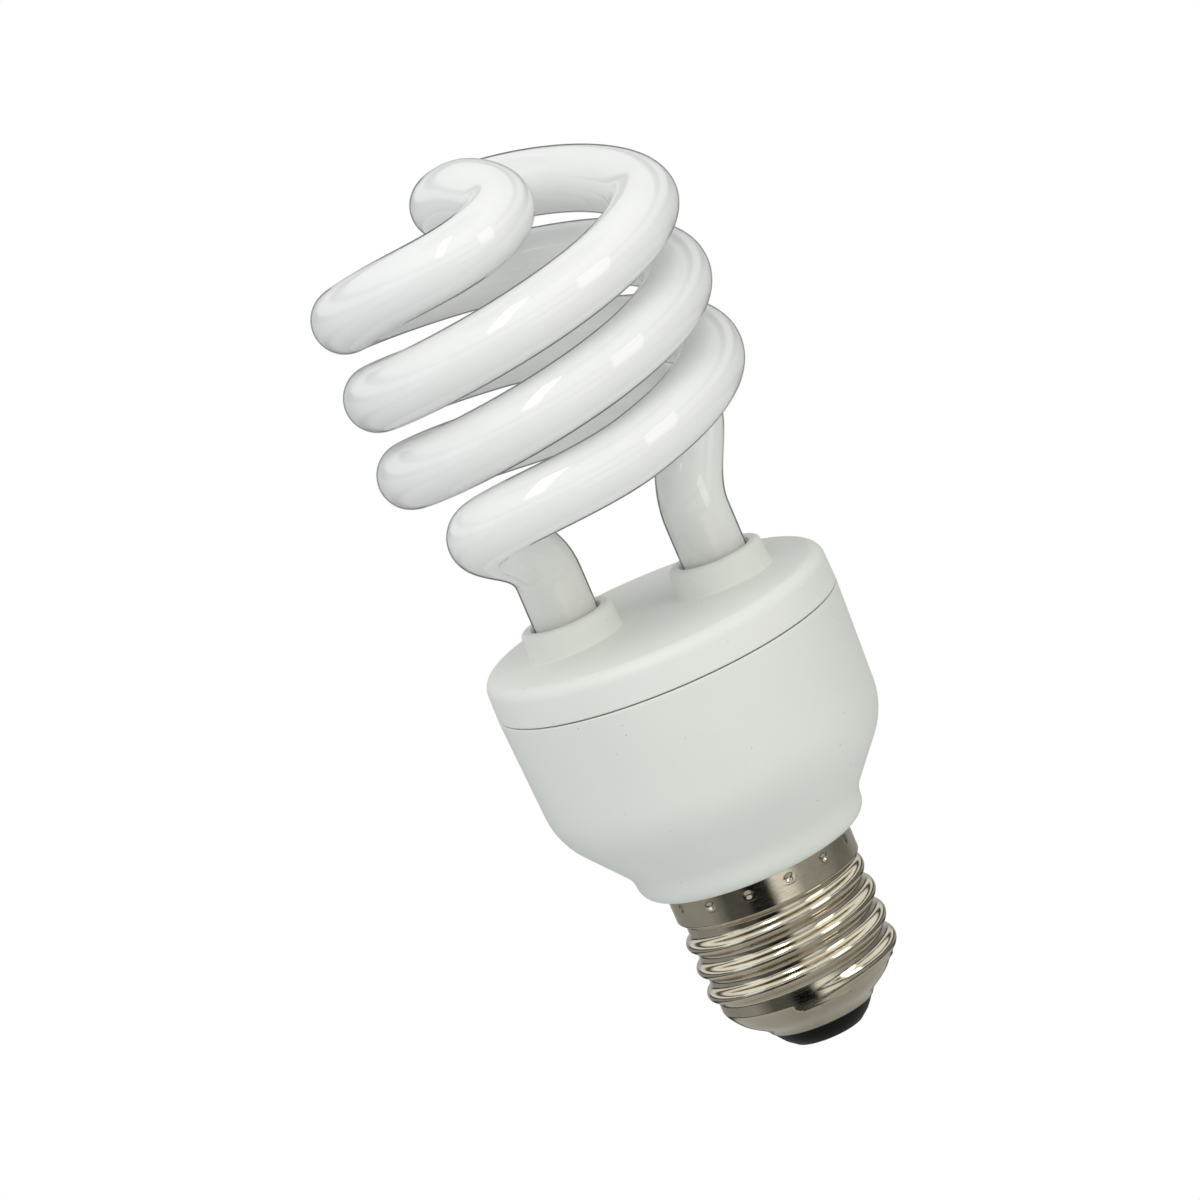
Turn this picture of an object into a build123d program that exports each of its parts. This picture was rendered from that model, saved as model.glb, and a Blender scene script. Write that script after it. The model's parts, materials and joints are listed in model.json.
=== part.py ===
from build123d import *
import math
import os

# A compact fluorescent lamp: a double spiral discharge tube on a round ballast housing with an E27 screw cap.
# The origin is the end face of the centre contact. +Z runs along the lamp's axis to the spiral, and +X points
# from the axis to the right leg. All lengths are in millimetres.

# Screw cap
thread_pitch = 3.629
thread_crest_r = 13.1
thread_root_r = 12.1
thread_round_r = 0.95
thread_low_z = 8.93
thread_turns = 2.9
thread_fade_turns = 0.3
sheet = 0.35
skirt_r = 12.95
skirt_low_z = 21.0
neck_z = 25.9
nose_r = 7.45
nose_z = 3.0
nose_bulge_r = 10.65
nose_bulge_z = 5.6
nose_lead = 1.0
stake_count = 14
stake_r = 0.9
stake_depth = 0.22
stake_drop = 1.3
contact_r = 4.0
contact_t = 0.6
contact_proud = 0.12
insulator_low_r = 5.0
insulator_waist_r = 6.35
insulator_waist_z = 1.45
insulator_top_z = 5.4
insulator_bore_r = 1.1

# Housing
wall = 1.5
spigot_low_z = 14.0
spigot_gap = 0.12
bulge_proud = 2.9
bulge_r = skirt_r + bulge_proud
bulge_round_r = 2.4
waist_flare = 0.25
waist_r = bulge_r + waist_flare
waist_z = 29.6
waist_round_r = 3.8
shoulder_r = 23.3
shoulder_z = 38.4
shoulder_round_r = 10.5
seam_r = 24.05
seam_z = 56.3
seam_gap = 0.1
ledge_width = 1.7
ledge_h = 1.2

# Cover
cover_draft = 0.15
cover_top_r = seam_r - cover_draft
cover_edge_z = 61.6
cover_edge_round_r = 1.8
cover_dome_z = 62.0
lip_gap = 0.15
lip_wall = 1.3
snap_r = 0.45
snap_rise = 2.8
collar_r = 6.4
collar_foot_r = 6.6
collar_top_z = 65.6
collar_low_z = 58.0
collar_round_r = 0.8

# Discharge tube
tube_r = 4.5
leg_x = 10.55
cement_gap = 0.4
foot_z = 55.5
foot_round_r = 1.6
exhaust_r = 1.3
exhaust_len = 3.0
leg_straight_z = 71.2
spiral_r = 21.1
spiral_pitch = 22.23
spiral_z = 79.86
spiral_shift = -0.66
spiral_start_deg = 110
spiral_end_deg = 530
bend_deg = (26.5, 47.7)
bend_r = (16.0, 22.35)
bend_z = (79.35, 83.55)
fold_deg = (581.7, 622.8, 651.5)
fold_r = (18.35, 16.45, 9.1)
fold_z = (116.5, 118.65, 120.5)
crown_z = 122.4
crown_deg = 118
cement_recess = 0.45

# Ballast board, hung with its parts on the cap's side
board_gap = 0.3
board_t = 1.6
board_z = 47.5
lead_r = 0.3
lead_gap = 0.1
lead_stub = 1.6
pin_side = 0.8
pin_low = 1.2
pin_high = 4.0
pin_x = 18.6
pin_y = 3.2
wrap_rings = 3
wire_r = 0.25
electrode_y = 1.75
supply_wire_r = 0.4
contact_wire_x = -1.25
shell_wire_x, shell_wire_y = -6.0, -7.0
shell_wire_z = 11.0

# Ballast parts: places are (x, y) on the board, sizes are along X, along Y and down from the board
bulk_place = (5.0, 0.0)
bulk_r = 5.0
bulk_h = 20.0
bulk_round_r = 0.6
bulk_groove_drop = 2.4
bulk_groove_r = 0.5
bulk_lead_span = 5.0
choke_place = (-9.0, 0.0)
choke_leg = 2.6
choke_middle = 3.0
choke_window = 2.4
choke_size = (2 * choke_leg + choke_middle + 2 * choke_window, 6.0, 11.0)
bobbin_size = (13.0, 12.0, 1.2)
bobbin_wall = 0.5
bobbin_flange_t = 0.6
bobbin_flange_y = 10.6
winding_gap = 0.1
winding_clear = 0.3
winding_round_r = 1.2
choke_lead_span = (10.0, 9.0)
start_place = (4.0, 8.25)
start_size = (10.0, 4.5, 9.0)
start_lead_span = 7.5
blocking_place = (3.0, -11.5)
blocking_size = (13.0, 5.0, 11.0)
blocking_lead_span = 10.0
film_round_r = 0.5
toroid_place = (3.0, 15.2)
toroid_r = 4.0
toroid_bore_r = 2.1
toroid_h = 2.8
toroid_wire = 0.45
toroid_turn_deg = 22
toroid_groups = {90: 4, 210: 4, 330: 2}
transistor_places = [(12.5, 5.0), (12.5, -5.0)]
transistor_size = (2.8, 7.8, 11.0)
transistor_hole_r = 1.6
transistor_lead_pitch = 2.3
transistor_shoulder = (0.5, 1.2, 2.0)
diode_places = [(-9.5, 8.6), (-9.5, 12.2), (-9.5, -8.6), (-9.5, -12.2)]
diode_r, diode_len = 1.35, 5.2
diac_place = (-8.0, 15.6)
diac_r, diac_len = 0.95, 3.9
fusible_place = (0.0, -17.0)
fusible_r, fusible_len = 1.6, 9.0
base_places = [(16.8, 4.8), (16.8, -4.8)]
base_r, base_len = 1.15, 5.0
band_rise = 0.15
lead_reach = 0.9
filter_place = (12.6, -12.1)
filter_r, filter_h = 2.5, 6.0
filter_flange_t = 1.0
filter_waist_r = 1.7
filter_lead_span = 3.4
snubber_place = (11.2, 13.2)
snubber_r, snubber_t = 3.5, 2.5
snubber_deg = -45
snubber_lead_span = 5.0

board_top_z = board_z + board_t


def ring(outer_r, inner_r, low_z, high_z):
    """A plain round ring or, with no inner radius, a disc."""
    body = Pos(0, 0, low_z) * extrude(Circle(outer_r), high_z - low_z)
    if inner_r:
        body -= Pos(0, 0, low_z) * extrude(Circle(inner_r), high_z - low_z)
    return body


def turned(*outline):
    """A solid turned about the axis from edges that close a (radius, height) outline."""
    return revolve(make_face(outline), Axis.Z)


def at(radius, height):
    """A point of a turned outline."""
    return Vector(radius, 0, height)


def run(*points, rounds=None):
    """A run of straight edges through (radius, height) points, with its corners rounded."""
    places = [at(*point) for point in points]
    return FilletPolyline(places, radius=rounds) if rounds else Polyline(places)


def inset(points, distance):
    """The same run of points moved sideways by a distance, towards the axis and up."""
    lines = []
    for (r1, z1), (r2, z2) in zip(points, points[1:]):
        length = math.hypot(r2 - r1, z2 - z1)
        aside_r = -(z2 - z1) / length * distance
        aside_z = (r2 - r1) / length * distance
        lines.append(((r1 + aside_r, z1 + aside_z), (r2 + aside_r, z2 + aside_z)))
    moved = [lines[0][0]]
    for (a, b), (c, d) in zip(lines, lines[1:]):
        along = (b[0] - a[0], b[1] - a[1])
        cross = (d[0] - c[0], d[1] - c[1])
        turn = along[0] * cross[1] - along[1] * cross[0]
        share = ((c[0] - a[0]) * cross[1] - (c[1] - a[1]) * cross[0]) / turn
        moved.append((a[0] + along[0] * share, a[1] + along[1] * share))
    return moved + [lines[-1][1]]


# Screw cap: thin sheet, with the thread rolled through it inside and out


def thread_ridge(crest_r, root_r, round_r, base_r):
    """One rolled thread: a rounded crest that flows into rounded roots, faded into the wall at both ends."""
    rise = crest_r - root_r
    half = math.sqrt((2 * round_r) ** 2 - (2 * round_r - rise) ** 2)
    lean = math.acos((2 * round_r - rise) / (2 * round_r))
    flank = (root_r + round_r - round_r * math.cos(lean), half - round_r * math.sin(lean))
    low_root = ThreePointArc(
        at(root_r, -half),
        at(root_r + round_r - round_r * math.cos(lean / 2), -half + round_r * math.sin(lean / 2)),
        at(flank[0], -flank[1]),
    )
    crest = ThreePointArc(at(flank[0], -flank[1]), at(crest_r, 0), at(flank[0], flank[1]))
    high_root = ThreePointArc(
        at(flank[0], flank[1]),
        at(root_r + round_r - round_r * math.cos(lean / 2), half - round_r * math.sin(lean / 2)),
        at(root_r, half),
    )
    back = Polyline([at(root_r, half), at(base_r, half), at(base_r, -half), at(root_r, -half)])
    profile = make_face([low_root, crest, high_root, back])
    rise_main = thread_pitch * thread_turns
    rise_fade = thread_pitch * thread_fade_turns
    sink = math.degrees(math.atan((rise + round_r / 4) / rise_fade))
    main = Helix(thread_pitch, rise_main, crest_r)
    ridge = Pos(0, 0, thread_low_z) * sweep(profile, path=main, is_frenet=True)
    fade = sweep(profile, path=Helix(thread_pitch, rise_fade, crest_r, cone_angle=-sink), is_frenet=True)
    top = Pos(0, 0, thread_low_z + rise_main) * Rot(0, 0, 360 * thread_turns) * fade
    bottom = Pos(0, 0, thread_low_z) * Rot(180, 0, 0) * fade
    return ridge + top + bottom


def screw_shell():
    """The E27 shell: nose cone, rolled thread, plain skirt and a ring of staking dimples."""
    nose_end = at(thread_root_r, thread_low_z - nose_lead)
    nose = ThreePointArc(at(nose_r, nose_z), at(nose_bulge_r, nose_bulge_z), nose_end)
    step_z = skirt_low_z + (skirt_r - thread_root_r)
    step = [at(thread_root_r, skirt_low_z), at(skirt_r, step_z)]
    outer = Polyline([nose @ 1] + step + [at(skirt_r, neck_z), at(0, neck_z)])
    body = turned(nose, outer, Polyline([at(0, neck_z), at(0, nose_z), nose @ 0]))
    body += thread_ridge(thread_crest_r, thread_root_r - 0.03, thread_round_r, thread_root_r - sheet / 2)
    body -= shell_bore()
    dimple = Pos(skirt_r + stake_r - stake_depth, 0, neck_z - stake_drop) * Sphere(stake_r)
    return body - PolarLocations(0, stake_count) * dimple


def shell_bore():
    """The room inside the shell's sheet, from the nose up to the neck."""
    step_z = skirt_low_z + (skirt_r - thread_root_r) + sheet
    nose = ThreePointArc(
        at(nose_r - sheet, nose_z),
        at(nose_bulge_r - sheet, nose_bulge_z + sheet / 2),
        at(thread_root_r - sheet, thread_low_z - nose_lead),
    )
    side = Polyline(
        [
            nose @ 1,
            at(thread_root_r - sheet, skirt_low_z + sheet),
            at(skirt_r - sheet, step_z),
            at(skirt_r - sheet, neck_z),
            at(0, neck_z),
            at(0, nose_z),
            nose @ 0,
        ]
    )
    return turned(nose, side)


def cap_insulator():
    """The black glass ring that closes the shell's nose and holds the contact."""
    waist = at(insulator_waist_r, insulator_waist_z)
    side = Spline(at(insulator_low_r, contact_proud), waist, at(nose_r - sheet, nose_z))
    ends = Polyline([side @ 1, at(0, nose_z), at(0, contact_proud), side @ 0])
    body = turned(side, ends) + (shell_bore() & ring(thread_root_r, 0, nose_z, insulator_top_z))
    body -= ring(contact_r, 0, 0, contact_t)
    return body - ring(insulator_bore_r, 0, 0, insulator_top_z)


def centre_contact():
    """The contact disc, seated in the insulator and a little proud of it."""
    disc = ring(contact_r, 0, 0, contact_t)
    return disc


# Housing and cover: two moulded shells that snap together at the seam


housing_run = [
    (skirt_r - sheet, neck_z),
    (bulge_r, neck_z),
    (waist_r, waist_z),
    (shoulder_r, shoulder_z),
    (seam_r, seam_z - seam_gap),
]
housing_rounds = [bulge_round_r, waist_round_r, shoulder_round_r]
housing_inner_run = inset(housing_run, wall)
housing_inner_rounds = [bulge_round_r - wall, waist_round_r + wall, shoulder_round_r - wall]
spigot_r = thread_root_r - sheet - spigot_gap
spigot_neck_r = skirt_r - sheet - spigot_gap


def inner_r_at(height):
    """The housing's inner radius on its nearly upright upper wall."""
    (r1, z1), (r2, z2) = housing_inner_run[-2:]
    return r1 + (r2 - r1) * (height - z1) / (z2 - z1)


board_r = inner_r_at(board_z) - board_gap
lip_r = inner_r_at(board_top_z) - lip_gap
snap_low_z = board_top_z + snap_rise


def lower_housing():
    """The bowl: spigot, neck bulge, waist, flare and side wall, with the board's ledge and snap groove."""
    outer = run(*housing_run, rounds=housing_rounds)
    inner = run(*housing_inner_run, rounds=housing_inner_rounds)
    spigot_step_z = skirt_low_z + sheet + (skirt_r - thread_root_r)
    foot = Polyline(
        [
            outer @ 0,
            at(spigot_neck_r, neck_z),
            at(spigot_neck_r, spigot_step_z),
            at(spigot_r, skirt_low_z + sheet),
            at(spigot_r, spigot_low_z),
            at(spigot_r - wall, spigot_low_z),
            at(spigot_r - wall, inner_start_z()),
            inner @ 0,
        ]
    )
    rim = Polyline([inner @ 1, outer @ 1])
    body = turned(foot, outer, rim, inner)
    ledge = Polyline(
        [
            at(board_r - ledge_width, board_z),
            at(board_r + wall, board_z),
            at(board_r + wall, board_z - ledge_h - ledge_width - wall),
            at(board_r - ledge_width, board_z - ledge_h),
            at(board_r - ledge_width, board_z),
        ]
    )
    body += turned(ledge)
    groove = Pos(lip_r, 0, snap_low_z + snap_r) * Rot(90, 0, 0) * Circle(snap_r + lip_gap)
    return body - revolve(groove, Axis.Z)


def inner_start_z():
    """The height at which the housing's inside opens from the spigot's bore."""
    return housing_inner_run[0][1]


def top_cover():
    """The lid: domed top, rounded edge, snap lip and two collars for the tube's legs."""
    dome_rise = cover_dome_z - cover_edge_z
    dome = ThreePointArc(
        at(cover_top_r, cover_edge_z),
        at(cover_top_r / 2, cover_edge_z + dome_rise * 0.75),
        at(0, cover_dome_z),
    )
    under_z = cover_edge_z - wall
    inner_r = lip_r - lip_wall
    inside = Polyline(
        [
            dome @ 1,
            at(0, under_z),
            at(inner_r, under_z),
            at(inner_r, board_top_z),
            at(lip_r, board_top_z),
            at(lip_r, snap_low_z),
        ]
    )
    bead_top = at(lip_r, snap_low_z + 2 * snap_r)
    bead = ThreePointArc(at(lip_r, snap_low_z), at(lip_r + snap_r, snap_low_z + snap_r), bead_top)
    outside = Polyline([bead @ 1, at(lip_r, seam_z), at(seam_r, seam_z), at(cover_top_r, cover_edge_z)])
    body = turned(dome, inside, bead, outside)
    edge = body.edges().filter_by(GeomType.CIRCLE).filter_by(lambda e: abs(e.radius - cover_top_r) < 0.01)
    body = Rot(0, 0, 90) * fillet(edge, cover_edge_round_r)
    for side in (1, -1):
        body += Pos(side * leg_x, 0, 0) * collar(under_z)
    for side in (1, -1):
        hole = extrude(Circle(tube_r + cement_gap), collar_top_z - collar_low_z)
        body -= Pos(side * leg_x, 0, collar_low_z) * hole
    return body


def collar(under_z):
    """A raised collar with a rounded rim and its guide sleeve below the lid."""
    side = Polyline(
        [
            at(0, under_z),
            at(collar_foot_r, under_z),
            at(collar_r, collar_top_z),
            at(0, collar_top_z),
            at(0, under_z),
        ]
    )
    body = turned(side)
    body = fillet(body.edges().group_by(Axis.Z)[-1], collar_round_r)
    return body + ring(collar_r - collar_round_r, 0, collar_low_z, under_z)


# Discharge tube: one piece of sealed glass


def polar(degrees, radius, height):
    """A point about the coil's own axis."""
    angle = math.radians(degrees)
    return Vector(radius * math.cos(angle), radius * math.sin(angle), height)


def coil_point(degrees):
    return polar(degrees, spiral_r, spiral_z + spiral_pitch * degrees / 360)


def coil_heading(degrees):
    ahead = polar(degrees + 90, spiral_r, spiral_pitch / (2 * math.pi))
    return ahead.normalized()


def drawn(points, start_heading, end_heading):
    """A smooth curve through points, timed by the distance between them."""
    times = [0.0]
    for a, b in zip(points, points[1:]):
        times.append(times[-1] + (b - a).length)
    return Edge.make_spline(points, tangents=[start_heading, end_heading], parameters=times, scale=False)


def stations(edge, count):
    """Places along an edge, each with its heading, without the last one."""
    return [(edge @ (i / count), (edge % (i / count)).normalized()) for i in range(count)]


def arm(reach):
    """Half of the tube's centreline, from the top of a straight leg to the middle of the crown."""
    leg_top = Vector(reach, 0, leg_straight_z)
    up = Vector(0, 0, 1)
    rise = [leg_top] + list(map(polar, bend_deg, bend_r, bend_z)) + [coil_point(spiral_start_deg)]
    bend = drawn(rise, up, coil_heading(spiral_start_deg))
    middle_heading = polar(crown_deg, 1, 0)
    middle = Vector(0, 0, crown_z)
    fold = [coil_point(spiral_end_deg)] + list(map(polar, fold_deg, fold_r, fold_z)) + [middle]
    crown = drawn(fold, coil_heading(spiral_end_deg), middle_heading)
    steps = 20
    turn = (spiral_end_deg - spiral_start_deg) / steps
    coil = [spiral_start_deg + turn * i for i in range(steps)]
    places = stations(bend, 7)
    places += [(coil_point(angle), coil_heading(angle)) for angle in coil]
    return places + stations(crown, 14) + [(middle, middle_heading)]


def tube_path():
    """The whole centreline as tangent arcs, about the coil's own axis."""
    right = arm(leg_x - spiral_shift)
    other = reversed(arm(leg_x + spiral_shift)[:-1])
    left = [(Vector(-p.X, -p.Y, p.Z), Vector(t.X, t.Y, -t.Z)) for p, t in other]
    places = right + left
    corners = []
    for (p, t), (q, u) in zip(places, places[1:]):
        half_turn = math.radians(t.get_angle(u)) / 2
        reach = (q - p).length / 2 / math.cos(half_turn)
        corners.append((p + t * reach + q - u * reach) * 0.5)
    right_leg, left_leg = places[0][0], places[-1][0]
    corners[0] = Vector(right_leg.X, right_leg.Y, corners[0].Z)
    corners[-1] = Vector(left_leg.X, left_leg.Y, corners[-1].Z)
    right_foot = Vector(right_leg.X, right_leg.Y, foot_z)
    left_foot = Vector(left_leg.X, left_leg.Y, foot_z)
    return rounded([right_foot] + corners + [left_foot])


def rounded(corners):
    """Tangent arcs, each as large as the runs beside its corner allow, with straight edges between."""
    straight_least = 0.1
    edges = []
    here = corners[0]
    for i in range(1, len(corners) - 1):
        before, corner, after = corners[i - 1 : i + 2]
        if (corner - before).get_angle(after - corner) < 0.01:
            continue
        back = (corner - here).length
        fore = (after - corner).length / 2
        if i == len(corners) - 2:
            fore = (after - corner).length
        reach = back if abs(back - fore) < straight_least else min(back, fore)
        heading = (corner - here).normalized()
        start = corner - heading * reach
        if back - reach > straight_least:
            edges.append(Edge.make_line(here, start))
        end = corner + (after - corner).normalized() * reach
        edges.append(Edge.make_tangent_arc(start, heading, end))
        here = end
    if (corners[-1] - here).length > straight_least:
        edges.append(Edge.make_line(here, corners[-1]))
    return Wire(edges)


def discharge_tube():
    """The glass: two closed legs, two interlaced coils and the folded crown, an exhaust tip at each end."""
    path = tube_path()
    tube = sweep(Pos(*(path @ 0)) * Circle(tube_r), path=path)
    tube = Pos(spiral_shift, 0, 0) * tube
    ends = tube.edges().filter_by(GeomType.CIRCLE).filter_by(lambda e: abs(e.center().Z - foot_z) < 0.01)
    tube = fillet(ends, foot_round_r)
    for side in (1, -1):
        tip = extrude(Circle(exhaust_r), exhaust_len)
        tip = fillet(tip.edges().group_by(Axis.Z)[0], exhaust_r * 0.6)
        tube += Pos(side * leg_x, 0, foot_z - exhaust_len) * tip
    return tube


def tube_cement():
    """The cement that fills the gap between each leg and its collar."""
    low = collar_low_z
    high = collar_top_z - cement_recess
    bead = ring(tube_r + cement_gap, tube_r, low, high)
    return Compound([Pos(leg_x, 0, 0) * bead, Pos(-leg_x, 0, 0) * bead])


# Ballast: the parts hang below the board, with their leads through its holes


lead_places = []


def lead(x, y, low_z):
    """A round lead from a part, up through the board to a short stub."""
    lead_places.append((x, y))
    return ring(lead_r, 0, low_z, board_top_z + lead_stub).moved(Pos(x, y, 0))


def block(place, size, top_z):
    """A block that hangs down from a height: sizes along X and Y, then its depth."""
    length, width, depth = size
    return Pos(place[0], place[1], top_z - depth / 2) * Box(length, width, depth)


def rod(points, radius, bend_r):
    """A bent wire through the points."""
    path = FilletPolyline([Vector(*point) for point in points], radius=bend_r)
    return sweep(Plane(origin=path @ 0, z_dir=path % 0) * Circle(radius), path=path)


def bulk_capacitor():
    """The electrolytic can, with its rolled groove and two leads."""
    x, y = bulk_place
    can = Pos(x, y, board_z - bulk_h) * extrude(Circle(bulk_r), bulk_h)
    can = fillet(can.edges().group_by(Axis.Z)[0], bulk_round_r)
    groove = Pos(x, y, board_z - bulk_groove_drop) * Torus(bulk_r + bulk_groove_r / 2, bulk_groove_r)
    half = bulk_lead_span / 2
    return can - groove + lead(x, y + half, board_z - lead_stub) + lead(x, y - half, board_z - lead_stub)


def choke_core():
    """The two E halves of the ferrite core, meeting on the middle leg."""
    width, depth = choke_size[1:]
    top_z = board_z - bobbin_size[2]
    core = block(choke_place, choke_size, top_z)
    for side in (1, -1):
        x = choke_place[0] + side * (choke_middle + choke_window) / 2
        core -= block((x, choke_place[1]), (choke_window, width, depth - 2 * choke_leg), top_z - choke_leg)
    return core


def choke_bobbin():
    """The moulded bobbin: base with four pins, two flanges and the tube round the core's middle leg."""
    x, y = choke_place
    width, depth = choke_size[1], choke_size[2]
    top_z = board_z - bobbin_size[2]
    flange_x = choke_middle + 2 * (choke_window - winding_gap)
    high_z = top_z - choke_leg - winding_gap
    low_z = top_z - depth + choke_leg + winding_gap
    tube = (choke_middle + 2 * winding_gap + 2 * bobbin_wall, width + 2 * winding_gap + 2 * bobbin_wall)
    body = block(choke_place, bobbin_size, board_z)
    body += block(choke_place, (*tube, high_z - low_z), high_z)
    body += block(choke_place, (flange_x, bobbin_flange_y, bobbin_flange_t), high_z)
    body += block(choke_place, (flange_x, bobbin_flange_y, bobbin_flange_t), low_z + bobbin_flange_t)
    bore = (choke_middle + 2 * winding_gap, width + 2 * winding_gap, depth)
    body -= block(choke_place, bore, top_z - winding_gap)
    cheek = (bobbin_flange_y - width) / 2 - winding_gap
    for side in (1, -1):
        place = (x, y + side * (bobbin_flange_y - cheek) / 2)
        body += block(place, (flange_x, cheek, top_z - high_z + bobbin_flange_t), top_z)
        for end in (1, -1):
            pin_x_at = x + end * choke_lead_span[0] / 2
            body += lead(pin_x_at, y + side * choke_lead_span[1] / 2, board_z - lead_stub / 2)
    return body


def choke_winding():
    """The wound wire, as one smooth bundle between the bobbin's flanges."""
    width, depth = choke_size[1], choke_size[2]
    top_z = board_z - bobbin_size[2]
    high_z = top_z - choke_leg - winding_gap - bobbin_flange_t
    low_z = top_z - depth + choke_leg + winding_gap + bobbin_flange_t
    winding_t = choke_window - winding_gap - bobbin_wall - winding_clear
    tube = (choke_middle + 2 * winding_gap + 2 * bobbin_wall, width + 2 * winding_gap + 2 * bobbin_wall)
    outline = RectangleRounded(tube[0] + 2 * winding_t, tube[1] + 2 * winding_t, winding_round_r)
    bundle = extrude(outline - Rectangle(*tube), high_z - low_z)
    return Pos(*choke_place, low_z) * bundle


def film_capacitor(place, size, lead_span):
    """A dipped film capacitor: a rounded block on two leads."""
    body = block(place, size, board_z)
    body = fillet(body.edges(), film_round_r)
    half = lead_span / 2
    low_z = board_z - lead_stub
    return body + lead(place[0] - half, place[1], low_z) + lead(place[0] + half, place[1], low_z)


def start_capacitor():
    return film_capacitor(start_place, start_size, start_lead_span)


def blocking_capacitor():
    return film_capacitor(blocking_place, blocking_size, blocking_lead_span)


def snubber_capacitor():
    """A disc capacitor on edge, set square to the board's rim."""
    x, y = snubber_place
    disc = Rot(90, 0, 0) * Cylinder(snubber_r, snubber_t)
    disc = fillet(disc.edges().filter_by(GeomType.CIRCLE), film_round_r)
    body = Pos(x, y, board_z - snubber_r) * Rot(0, 0, snubber_deg) * disc
    turn = math.radians(snubber_deg)
    for side in (1, -1):
        reach = side * snubber_lead_span / 2
        body += lead(x + reach * math.cos(turn), y + reach * math.sin(turn), board_z - snubber_r)
    return body


def toroid_core():
    """The feedback transformer's ferrite ring, flat under the board."""
    top_z = board_z - toroid_wire
    return Pos(*toroid_place, 0) * ring(toroid_r, toroid_bore_r, top_z - toroid_h, top_z)


def toroid_windings():
    """Three groups of wire turns round the ferrite ring, each with two leads."""
    top_z = board_z - toroid_wire
    section = toroid_r - toroid_bore_r
    middle_r = (toroid_r + toroid_bore_r) / 2
    inner = Box(section + winding_gap, toroid_wire, toroid_h)
    turn = Box(section + winding_gap + 2 * toroid_wire, toroid_wire, toroid_h + 2 * toroid_wire) - inner
    loops = []
    for middle, count in toroid_groups.items():
        for i in range(count):
            angle = middle + (i - (count - 1) / 2) * toroid_turn_deg
            loop = Pos(*toroid_place, top_z - toroid_h / 2) * Rot(0, 0, angle) * Pos(middle_r, 0, 0) * turn
            if i in (0, count - 1):
                reach = toroid_r + toroid_wire
                x = toroid_place[0] + reach * math.cos(math.radians(angle))
                y = toroid_place[1] + reach * math.sin(math.radians(angle))
                loop += lead(x, y, board_z - toroid_h / 2)
            loops.append(loop)
    return Compound(loops)


def switching_transistors():
    """The two power transistors, each standing off the board on three shouldered leads."""
    thick, wide, high = transistor_size
    shoulder = transistor_shoulder
    bodies = []
    for x, y in transistor_places:
        top_z = board_z - shoulder[2]
        body = block((x, y), transistor_size, top_z)
        body -= Pos(x, y, top_z - high + wide / 2) * Rot(0, 90, 0) * Cylinder(transistor_hole_r, thick)
        for i in (-1, 0, 1):
            leg_y = y + i * transistor_lead_pitch
            body += block((x, leg_y), shoulder, board_z)
            body += lead(x, leg_y, board_z - shoulder[2])
        bodies.append(body)
    return Compound(bodies)


def axial(place, radius, length, quarter, banded=False):
    """A part that lies under the board on two bent leads, along X or, a quarter turn on, along Y."""
    z = board_z - radius - (band_rise if banded else 0)
    body = Rot(0, 90, 0) * Cylinder(radius, length)
    if banded:
        for side in (1, -1):
            band = Rot(0, 90, 0) * Cylinder(radius + band_rise, radius)
            body += Pos(side * (length - radius) / 2, 0, 0) * band
    half = length / 2 + lead_reach
    turn = 90 if quarter else 0
    bent = [(-half, 0, lead_stub), (-half, 0, 0), (half, 0, 0), (half, 0, lead_stub)]
    wire = rod(bent, lead_r, lead_reach / 2)
    body = Pos(place[0], place[1], z) * Rot(0, 0, turn) * (body + wire)
    for side in (1, -1):
        x = place[0] + (0 if quarter else side * half)
        y = place[1] + (side * half if quarter else 0)
        body += lead(x, y, z + lead_reach / 2)
    return body


def rectifier_diodes():
    return Compound([axial(place, diode_r, diode_len, False) for place in diode_places])


def trigger_diac():
    return axial(diac_place, diac_r, diac_len, False)


def fusible_resistor():
    return axial(fusible_place, fusible_r - band_rise, fusible_len, False, banded=True)


def base_resistors():
    return Compound([axial(place, base_r - band_rise, base_len, True, banded=True) for place in base_places])


def filter_choke():
    """A small drum core, wound between its flanges."""
    x, y = filter_place
    drum = ring(filter_r, 0, board_z - filter_flange_t, board_z)
    drum += ring(filter_r, 0, board_z - filter_h, board_z - filter_h + filter_flange_t)
    drum += ring((filter_r + filter_waist_r) / 2, 0, board_z - filter_h, board_z)
    half = filter_lead_span / 2
    low_z = board_z - filter_flange_t
    return Pos(x, y, 0) * drum + lead(x - half, y, low_z) + lead(x + half, y, low_z)


pin_places = [(side * pin_x, end * pin_y) for side in (1, -1) for end in (1, -1)]
wrap_r = pin_side / math.sqrt(2) + wire_r
wrap_z = board_top_z + pin_high / 2
wrap_step = 1.9 * wire_r


def wire_wrap_pins():
    """Four square posts that carry the tube's wires."""
    size = (pin_side, pin_side, pin_low + board_t + pin_high)
    return Compound([block(place, size, board_top_z + pin_high) for place in pin_places])


def electrode_leads():
    """The tube's four wires, each wrapped round its post."""
    wires = []
    for x, y in pin_places:
        side = 1 if x > 0 else -1
        end = 1 if y > 0 else -1
        top_z = wrap_z + (wrap_rings - 1) / 2 * wrap_step
        near = x - side * wrap_r
        foot = (side * leg_x, end * electrode_y)
        wire = rod([(*foot, foot_z), (*foot, top_z), (near, y, top_z)], wire_r, 3 * wire_r)
        for i in range(wrap_rings):
            wire += Pos(x, y, wrap_z + (i - (wrap_rings - 1) / 2) * wrap_step) * Torus(wrap_r, wire_r)
        wires.append(wire)
    return Compound(wires)


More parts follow.
